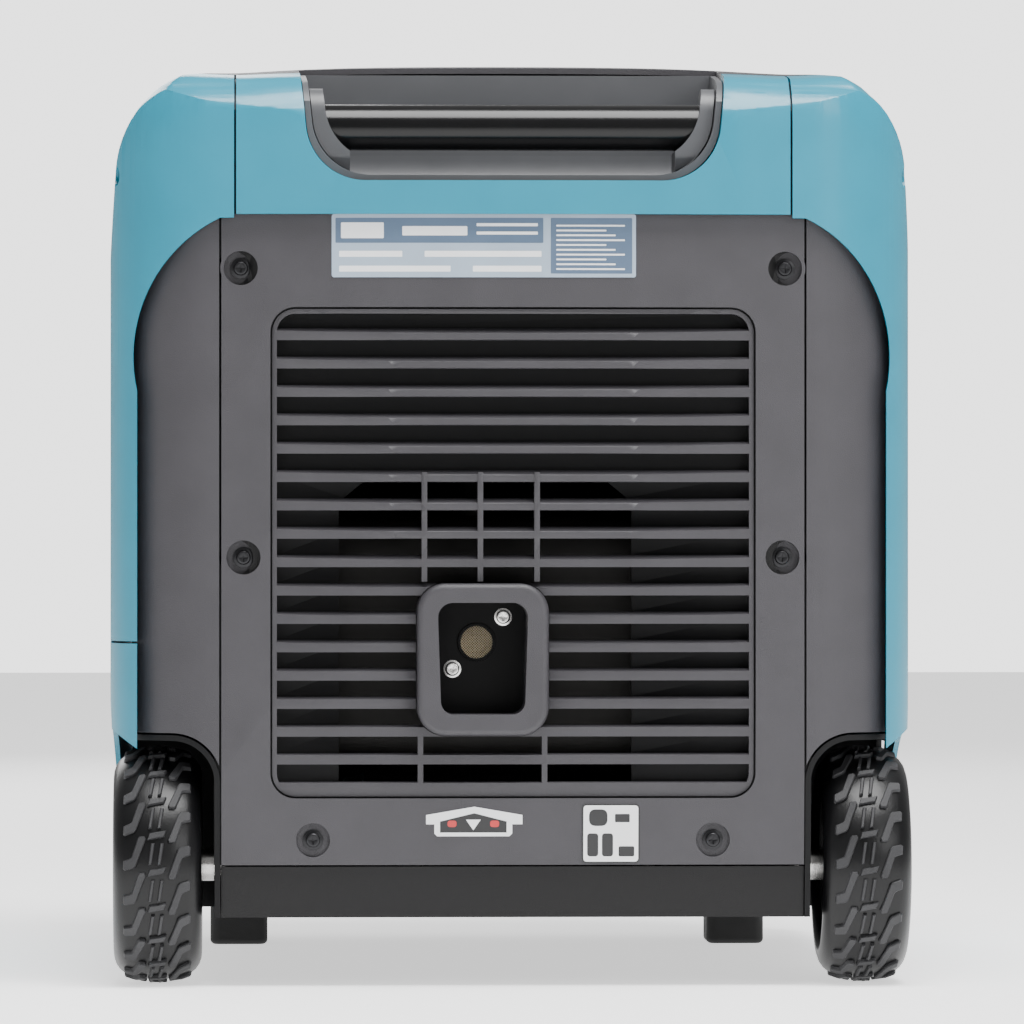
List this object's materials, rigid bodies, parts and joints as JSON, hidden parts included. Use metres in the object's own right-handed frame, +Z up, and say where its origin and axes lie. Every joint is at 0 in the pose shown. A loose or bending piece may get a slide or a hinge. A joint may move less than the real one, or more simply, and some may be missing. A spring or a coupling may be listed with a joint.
{
  "type": "inverter generator",
  "caption": "Suitcase inverter generator on two rear wheels, with grab bar, trolley handle, louvred exhaust end and control panel.",
  "frame": {"origin": "middle of the footprint, on the floor", "axes": "+Z up, -Y towards the exhaust end, +Y towards the control panel end, +X towards the recoil side"},
  "size_m": [0.44, 0.6196, 0.5099],
  "materials": {
    "turquoise": "moulded satin turquoise",
    "dark_grey": "fine textured dark grey",
    "recess_grey": "smooth grey",
    "base_black": "black textured",
    "gloss_black": "gloss black",
    "lid_grey": "grey flaps",
    "release_red": "red",
    "start_green": "green",
    "tyre_rubber": "moulded rubber",
    "foot_rubber": "rubber",
    "rim_plastic": "black wheel centre",
    "zinc_steel": "zinc plated",
    "earth_brass": "brass",
    "cast_alloy": "cast alloy",
    "steel_parts": "machined and painted steel",
    "tank_plastic": "black polyethylene"
  },
  "bodies": {
    "casing": {"left_side_shell": "turquoise", "left_lower_panel": "turquoise", "right_side_shell": "turquoise", "hinge_pins": "zinc_steel", "recoil_vent_cover": "base_black", "rear_top_bezel": "turquoise", "front_top_bezel": "turquoise", "top_cover": "dark_grey", "hand_recesses": "recess_grey", "rear_grab_bar": "gloss_black", "grab_bar_brackets": "recess_grey", "rear_corner_covers": "dark_grey", "rear_panel": "dark_grey", "rear_louvre": "dark_grey", "exhaust_surround": "dark_grey", "exhaust_plate": "base_black", "rear_screws": "zinc_steel", "base_tray": "base_black", "wheel_wells": "base_black", "rubber_feet": "foot_rubber", "wheel_axle": "zinc_steel", "front_frame": "dark_grey", "front_intake_louvre": "dark_grey", "display_window": "gloss_black", "panel_sockets": "base_black", "panel_connectors": "gloss_black", "earth_terminal": "earth_brass", "control_panel": "base_black", "handle_guides": "base_black", "fuel_tank": "tank_plastic", "engine": "cast_alloy", "engine_mounts": "steel_parts", "alternator_stator": "steel_parts", "fan_shroud": "base_black", "muffler": "steel_parts", "air_filter_and_carburettor": "base_black", "inverter_module": "cast_alloy", "battery": "tank_plastic"},
    "left_wheel": {"left_tyre": "tyre_rubber", "left_rim": "rim_plastic"},
    "right_wheel": {"right_tyre": "tyre_rubber", "right_rim": "rim_plastic"},
    "trolley_handle": {"trolley_tubes": "zinc_steel", "trolley_grip": "gloss_black"},
    "release_button": {"release_button": "release_red"},
    "fuel_cap_plug": {"fuel_cap_plug": "gloss_black"},
    "fuel_cap": {"fuel_cap": "gloss_black"},
    "engine_switch": {"engine_switch": "gloss_black"},
    "start_button": {"start_button": "start_green"},
    "eco_rocker": {"eco_rocker": "gloss_black"},
    "breaker_button": {"breaker_button": "release_red"},
    "socket_lid_1": {"socket_lid_1": "lid_grey"},
    "socket_lid_2": {"socket_lid_2": "lid_grey"},
    "dc_socket_lid": {"dc_socket_lid": "lid_grey"},
    "service_door": {"service_door": "turquoise"},
    "service_door_latch": {"service_door_latch": "gloss_black"},
    "battery_hatch": {"battery_hatch": "turquoise"},
    "recoil_grip": {"recoil_grip": "base_black"},
    "recoil_pulley": {"recoil_pulley": "gloss_black"},
    "crankshaft": {"crankshaft_and_rotor": "steel_parts"}
  },
  "joints": [
    {"name": "left_wheel_spin", "type": "hinge", "parent": "casing", "child": "left_wheel", "pos_m": [-0.192, -0.245, 0.0645], "axis": [1, 0, 0], "continuous": true},
    {"name": "right_wheel_spin", "type": "hinge", "parent": "casing", "child": "right_wheel", "pos_m": [0.192, -0.245, 0.0645], "axis": [1, 0, 0], "continuous": true},
    {"name": "trolley_slide", "type": "slide", "parent": "casing", "child": "trolley_handle", "axis": [0, 1, 0], "range_m": [0, 0.4]},
    {"name": "release_press", "type": "slide", "parent": "trolley_handle", "child": "release_button", "axis": [0, -1, 0], "range_m": [0, 0.004], "stiffness_N_per_m": 250},
    {"name": "cap_lift", "type": "slide", "parent": "casing", "child": "fuel_cap_plug", "axis": [0, 0, 1], "range_m": [0, 0.08]},
    {"name": "cap_turn", "type": "hinge", "parent": "fuel_cap_plug", "child": "fuel_cap", "pos_m": [0, -0.03, 0.5], "axis": [0, 0, 1], "range_deg": [0, 90]},
    {"name": "engine_switch_turn", "type": "hinge", "parent": "casing", "child": "engine_switch", "pos_m": [-0.122, 0.29, 0.372], "axis": [0, 1, 0], "range_deg": [0, 90]},
    {"name": "start_press", "type": "slide", "parent": "casing", "child": "start_button", "axis": [0, -1, 0], "range_m": [0, 0.003], "stiffness_N_per_m": 250},
    {"name": "eco_rock", "type": "hinge", "parent": "casing", "child": "eco_rocker", "pos_m": [-0.03, 0.2885, 0.372], "axis": [0, 0, 1], "range_deg": [-16, 0]},
    {"name": "breaker_press", "type": "slide", "parent": "casing", "child": "breaker_button", "axis": [0, -1, 0], "range_m": [0, 0.003], "stiffness_N_per_m": 250},
    {"name": "socket_lid_1_open", "type": "hinge", "parent": "casing", "child": "socket_lid_1", "pos_m": [-0.118, 0.297, 0.299], "axis": [1, 0, 0], "range_deg": [0, 110], "stiffness_Nm_per_rad": 0.01},
    {"name": "socket_lid_2_open", "type": "hinge", "parent": "casing", "child": "socket_lid_2", "pos_m": [-0.05, 0.297, 0.299], "axis": [1, 0, 0], "range_deg": [0, 110], "stiffness_Nm_per_rad": 0.01},
    {"name": "dc_lid_open", "type": "hinge", "parent": "casing", "child": "dc_socket_lid", "pos_m": [0.018, 0.296, 0.28], "axis": [1, 0, 0], "range_deg": [0, 110], "stiffness_Nm_per_rad": 0.005},
    {"name": "service_door_open", "type": "hinge", "parent": "casing", "child": "service_door", "pos_m": [-0.2098, 0, 0.0776], "axis": [0, -1, 0], "range_deg": [0, 80]},
    {"name": "latch_turn", "type": "hinge", "parent": "service_door", "child": "service_door_latch", "pos_m": [-0.213, 0.005, 0.158], "axis": [1, 0, 0], "range_deg": [0, 90]},
    {"name": "battery_hatch_open", "type": "hinge", "parent": "casing", "child": "battery_hatch", "pos_m": [0.2159, 0.0364, 0.245], "axis": [0, 0, 1], "range_deg": [0, 100]},
    {"name": "recoil_pull", "type": "slide", "parent": "casing", "child": "recoil_grip", "axis": [1, 0, 0], "range_m": [0, 0.6]},
    {"name": "recoil_pulley_spin", "type": "hinge", "parent": "casing", "child": "recoil_pulley", "pos_m": [0.153, -0.05, 0.19], "axis": [1, 0, 0], "range_deg": [0, 860]},
    {"name": "crankshaft_spin", "type": "hinge", "parent": "casing", "child": "crankshaft", "pos_m": [0, -0.05, 0.19], "axis": [1, 0, 0], "continuous": true}
  ],
  "couplings": [
    {"joint": "recoil_pulley_spin", "follows": "recoil_pull", "rad_per_m": 25}
  ]
}
